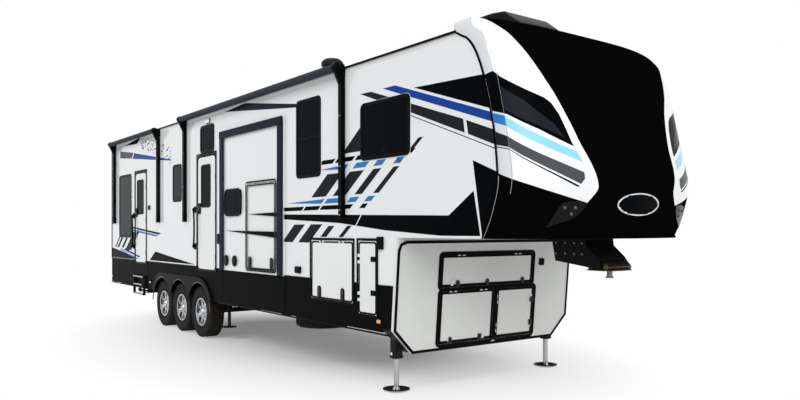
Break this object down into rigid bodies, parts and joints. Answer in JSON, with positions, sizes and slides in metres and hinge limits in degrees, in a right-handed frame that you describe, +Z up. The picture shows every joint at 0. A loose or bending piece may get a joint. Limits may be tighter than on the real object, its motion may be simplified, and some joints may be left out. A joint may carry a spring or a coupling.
{
  "type": "fifth wheel trailer",
  "caption": "Fifth wheel travel trailer with a raised front overhang and pin box, slide-out rooms, ramp door, entry doors, hatches, awnings and landing legs",
  "frame": {"origin": "on the ground under the middle of the trailer's length and width", "axes": "+X forward towards the kingpin, +Y to the left side, +Z up"},
  "size_m": [11.8, 2.8979, 3.9],
  "materials": {
    "gelcoat_white": "gloss white moulded and laminated sides",
    "nose_grey": "pale grey satin paint",
    "skirt_black": "satin black paint",
    "frame_black": "black chassis paint",
    "spring_steel": "dark spring steel",
    "deck_wood": "plywood deck",
    "roof_membrane": "pale rubber roof membrane",
    "trim_black": "black moulded trim",
    "window_tint": "dark tinted glass",
    "door_white": "gloss white door skins",
    "pin_steel": "machined steel",
    "leg_tube": "zinc plated tube",
    "tyre": "radial tyre",
    "alloy": "machined and painted alloy",
    "awning_fabric": "acrylic awning cloth",
    "shroud": "black moulded shroud",
    "vent_cover": "smoked moulded cover",
    "lamp_lens": "amber moulded lens"
  },
  "bodies": {
    "root": {"chassis_frame": "frame_black", "axles": "frame_black", "leaf_springs": "spring_steel", "belly_pan": "skirt_black", "floor_deck": "deck_wood", "overhang_deck": "deck_wood", "wall_right": "gelcoat_white", "wall_left": "gelcoat_white", "skirt_right": "skirt_black", "skirt_left": "skirt_black", "roof": "roof_membrane", "rear_frame": "gelcoat_white", "rear_bumper": "skirt_black", "nose_wall": "nose_grey", "nose_frame": "frame_black", "front_cap": "gelcoat_white", "fender_flares": "trim_black", "window_frames": "trim_black", "window_glass": "window_tint", "door_frames": "trim_black", "pin_box": "frame_black", "kingpin": "pin_steel", "landing_legs": "frame_black", "leg_tubes": "leg_tube", "stabilisers": "frame_black", "spare_wheel": "tyre", "rear_step": "frame_black", "awning_arms": "trim_black", "awning_rolls": "awning_fabric", "ac_units": "shroud", "roof_vents": "vent_cover", "grab_handles": "trim_black", "lamps": "lamp_lens"},
    "entry_door": {"entry_door": "door_white"},
    "rear_door": {"rear_door": "door_white"},
    "ramp_door": {"ramp_door": "door_white"},
    "hatch_1": {"hatch_1": "door_white"},
    "hatch_2": {"hatch_2": "door_white"},
    "nose_hatch_a": {"nose_hatch_a": "nose_grey"},
    "nose_hatch_b": {"nose_hatch_b": "nose_grey"},
    "nose_hatch_c": {"nose_hatch_c": "nose_grey"},
    "slide_room_right": {"slide_right": "gelcoat_white", "slide_glass_right": "window_tint"},
    "slide_hatch": {"slide_hatch": "door_white"},
    "slide_room_left": {"slide_left": "gelcoat_white", "slide_glass_left": "window_tint", "slide_topper": "awning_fabric"},
    "wheel_r1": {"tyre_r1": "tyre", "rim_r1": "alloy"},
    "wheel_r2": {"tyre_r2": "tyre", "rim_r2": "alloy"},
    "wheel_r3": {"tyre_r3": "tyre", "rim_r3": "alloy"},
    "wheel_l1": {"tyre_l1": "tyre", "rim_l1": "alloy"},
    "wheel_l2": {"tyre_l2": "tyre", "rim_l2": "alloy"},
    "wheel_l3": {"tyre_l3": "tyre", "rim_l3": "alloy"}
  },
  "joints": [
    {"name": "wheel_r1_spin", "type": "hinge", "parent": "root", "child": "wheel_r1", "pos_m": [-2.755, -1.1675, 0.388], "axis": [0, 1, 0], "continuous": true},
    {"name": "wheel_r2_spin", "type": "hinge", "parent": "root", "child": "wheel_r2", "pos_m": [-1.93, -1.1675, 0.388], "axis": [0, 1, 0], "continuous": true},
    {"name": "wheel_r3_spin", "type": "hinge", "parent": "root", "child": "wheel_r3", "pos_m": [-1.105, -1.1675, 0.388], "axis": [0, 1, 0], "continuous": true},
    {"name": "wheel_l1_spin", "type": "hinge", "parent": "root", "child": "wheel_l1", "pos_m": [-2.755, 1.1675, 0.388], "axis": [0, 1, 0], "continuous": true},
    {"name": "wheel_l2_spin", "type": "hinge", "parent": "root", "child": "wheel_l2", "pos_m": [-1.93, 1.1675, 0.388], "axis": [0, 1, 0], "continuous": true},
    {"name": "wheel_l3_spin", "type": "hinge", "parent": "root", "child": "wheel_l3", "pos_m": [-1.105, 1.1675, 0.388], "axis": [0, 1, 0], "continuous": true},
    {"name": "entry_door_hinge", "type": "hinge", "parent": "root", "child": "entry_door", "pos_m": [-0.483, -1.303, 1.85], "axis": [0, 0, 1], "range_deg": [0, 90]},
    {"name": "rear_door_hinge", "type": "hinge", "parent": "root", "child": "rear_door", "pos_m": [-3.653, -1.303, 1.85], "axis": [0, 0, 1], "range_deg": [0, 90]},
    {"name": "ramp_hinge", "type": "hinge", "parent": "root", "child": "ramp_door", "pos_m": [-5.848, 0, 1.07], "axis": [0, -1, 0], "range_deg": [0, 110]},
    {"name": "hatch_1_hinge", "type": "hinge", "parent": "root", "child": "hatch_1", "pos_m": [2.76, -1.303, 1.537], "axis": [-1, 0, 0], "range_deg": [0, 90]},
    {"name": "hatch_2_hinge", "type": "hinge", "parent": "root", "child": "hatch_2", "pos_m": [3.308, -1.303, 1.15], "axis": [0, 0, -1], "range_deg": [0, 90]},
    {"name": "nose_hatch_a_hinge", "type": "hinge", "parent": "root", "child": "nose_hatch_a", "pos_m": [4.00209, -0.03, 1.38779], "axis": [0, -1, 0], "range_deg": [0, 90]},
    {"name": "nose_hatch_b_hinge", "type": "hinge", "parent": "root", "child": "nose_hatch_b", "pos_m": [3.96977, -0.32, 1.00415], "axis": [0, -1, 0], "range_deg": [0, 90]},
    {"name": "nose_hatch_c_hinge", "type": "hinge", "parent": "root", "child": "nose_hatch_c", "pos_m": [3.94651, 0.118, 0.72813], "axis": [-0.0839, 0, -0.9965], "range_deg": [0, 90]},
    {"name": "slide_right_travel", "type": "slide", "parent": "root", "child": "slide_room_right", "axis": [0, -1, 0], "range_m": [0, 0.8]},
    {"name": "slide_left_travel", "type": "slide", "parent": "root", "child": "slide_room_left", "axis": [0, 1, 0], "range_m": [0, 0.8]},
    {"name": "slide_hatch_hinge", "type": "hinge", "parent": "slide_room_right", "child": "slide_hatch", "pos_m": [1.025, -1.3133, 2.27], "axis": [-1, 0, 0], "range_deg": [0, 90]}
  ]
}
